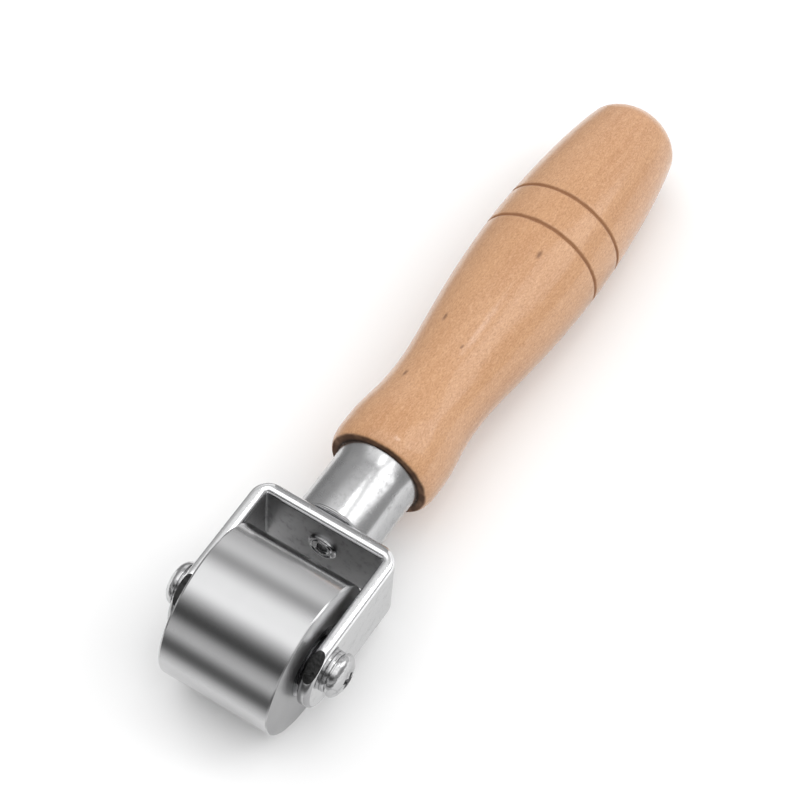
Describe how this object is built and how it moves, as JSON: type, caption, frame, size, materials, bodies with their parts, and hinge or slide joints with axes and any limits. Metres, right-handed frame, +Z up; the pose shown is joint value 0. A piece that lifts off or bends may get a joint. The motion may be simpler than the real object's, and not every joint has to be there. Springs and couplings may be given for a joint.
{
  "type": "seam roller",
  "caption": "Hand seam roller: a steel roller on ball bearings in a U-shaped fork, with a round steel neck and a turned wooden handle.",
  "frame": {"origin": "the ground point under the middle of the tool's box, as it lies on its roller and the handle's belly", "axes": "+X along the tool, from the roller to the handle's butt; +Y along the roller's spin axis, to the left side; +Z up"},
  "size_m": [0.1726, 0.0422, 0.0345],
  "materials": {
    "roller_steel": "ground and polished, satin end faces",
    "bearing_steel": "ground",
    "cage_brass": "pressed",
    "plain_steel": "turned, satin",
    "polished_steel": "polished plate, rounded edges",
    "screw_steel": "bright plated",
    "handle_wood": "turned light hardwood under glossy clear lacquer, with burnt rings"
  },
  "bodies": {
    "frame": {"fork": "polished_steel", "neck": "polished_steel", "handle": "handle_wood", "hanger_bolt": "plain_steel", "neck_screw": "plain_steel", "axle": "plain_steel", "bearing_spacer": "plain_steel", "left_bearing_inner_ring": "bearing_steel", "right_bearing_inner_ring": "bearing_steel", "left_side_washer": "plain_steel", "right_side_washer": "plain_steel", "left_axle_washer": "screw_steel", "right_axle_washer": "screw_steel", "left_axle_screw": "screw_steel", "right_axle_screw": "screw_steel"},
    "roller": {"roller_body": "roller_steel", "left_bearing_outer_ring": "bearing_steel", "right_bearing_outer_ring": "bearing_steel", "left_bearing_shields": "bearing_steel", "right_bearing_shields": "bearing_steel"},
    "left_ball_set": {"left_bearing_balls": "bearing_steel", "left_bearing_cage": "cage_brass"},
    "right_ball_set": {"right_bearing_balls": "bearing_steel", "right_bearing_cage": "cage_brass"}
  },
  "joints": [
    {"name": "roller_spin", "type": "hinge", "parent": "frame", "child": "roller", "pos_m": [-0.0691, 0, 0.01725], "axis": [0, 1, 0], "continuous": true},
    {"name": "left_ball_set_spin", "type": "hinge", "parent": "frame", "child": "left_ball_set", "pos_m": [-0.0691, 0, 0.01725], "axis": [0, 1, 0], "continuous": true},
    {"name": "right_ball_set_spin", "type": "hinge", "parent": "frame", "child": "right_ball_set", "pos_m": [-0.0691, 0, 0.01725], "axis": [0, 1, 0], "continuous": true}
  ],
  "couplings": [
    {"joint": "left_ball_set_spin", "follows": "roller_spin", "ratio": 0.6},
    {"joint": "right_ball_set_spin", "follows": "roller_spin", "ratio": 0.6}
  ]
}
